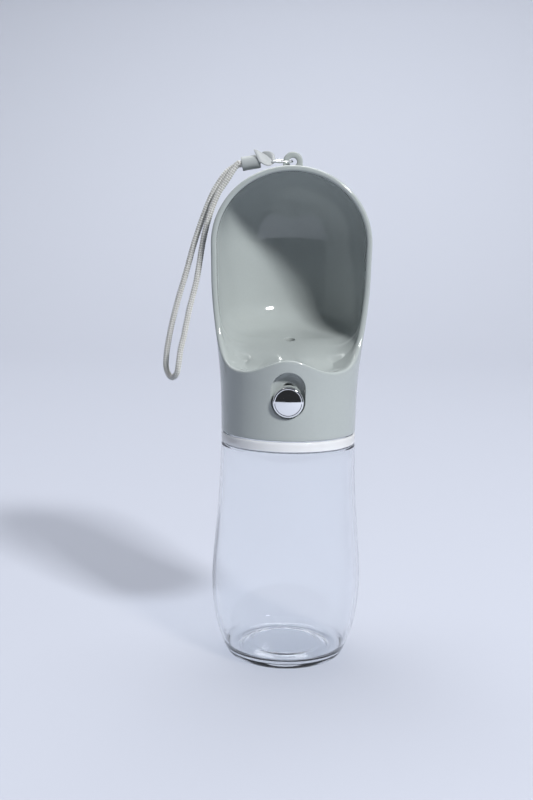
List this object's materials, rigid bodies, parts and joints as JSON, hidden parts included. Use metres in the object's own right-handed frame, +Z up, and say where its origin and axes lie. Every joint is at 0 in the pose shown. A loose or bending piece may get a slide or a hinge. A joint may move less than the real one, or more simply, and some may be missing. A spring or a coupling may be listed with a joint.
{
  "type": "dog travel water bottle",
  "caption": "Clear travel bottle for a dog that screws into a domed head with a drinking scoop, a push-button valve that slides up to lock, and a wrist strap.",
  "frame": {"origin": "centre of the foot ring, on the surface that the bottle stands on", "axes": "+Z up along the bottle's axis, -Y to the front, where the scoop opens and the button is, +X to the right seen from the front"},
  "size_m": [0.1041, 0.0781, 0.2554],
  "materials": {
    "clear_plastic": "clear glossy plastic",
    "grey_plastic": "glossy light grey plastic",
    "white_plastic": "matt off-white plastic",
    "slide_plastic": "matt mid grey plastic",
    "silicone": "translucent white silicone",
    "button_chrome": "bright chrome plating",
    "steel": "plain steel",
    "ring_steel": "bright nickelled wire",
    "strap_grey": "matt grey strap end",
    "strap_fold": "grey coated strip",
    "cord": "braided grey-beige cord"
  },
  "bodies": {
    "bottle": {"bottle": "clear_plastic"},
    "neck_seal": {"neck_gasket": "silicone"},
    "head": {"scoop_head": "grey_plastic", "valve_housing": "white_plastic", "valve_body": "white_plastic", "body_seal": "silicone", "body_screws": "steel", "stem_seal": "silicone", "outlet_seal": "silicone", "valve_end_cap": "white_plastic"},
    "lock_slide": {"lock_carriage": "slide_plastic"},
    "button": {"button_cap": "button_chrome", "button_stem": "slide_plastic", "stem_clip": "steel"},
    "valve_plunger": {"valve_stem": "steel", "valve_plug": "silicone", "valve_spring": "steel"},
    "wrist_strap": {"strap_ring": "ring_steel", "strap_tab": "strap_fold", "strap_sleeve": "strap_grey", "strap_cord": "cord"}
  },
  "joints": [
    {"name": "head_rise", "type": "slide", "parent": "bottle", "child": "neck_seal", "axis": [0, 0, 1], "range_m": [0, 0.006]},
    {"name": "head_turn", "type": "hinge", "parent": "neck_seal", "child": "head", "pos_m": [0, 0, 0.12], "axis": [0, 0, 1], "range_deg": [0, 720]},
    {"name": "button_lock", "type": "slide", "parent": "head", "child": "lock_slide", "axis": [0, 0, 1], "range_m": [0, 0.006]},
    {"name": "button_press", "type": "slide", "parent": "lock_slide", "child": "button", "axis": [0, 1, 0], "range_m": [0, 0.0022], "stiffness_N_per_m": 1200, "springref_m": -0.0008},
    {"name": "valve_open", "type": "slide", "parent": "head", "child": "valve_plunger", "axis": [0, 1, 0], "range_m": [0, 0.0022], "deforming": ["valve_spring"]},
    {"name": "strap_swing", "type": "hinge", "parent": "head", "child": "wrist_strap", "pos_m": [0, 0.007, 0.2506], "axis": [0, 1, 0], "range_deg": [0, 150]}
  ],
  "couplings": [
    {"joint": "head_rise", "follows": "head_turn", "m_per_rad": 0.00047746},
    {"joint": "valve_open", "follows": "button_press", "ratio": 1}
  ]
}
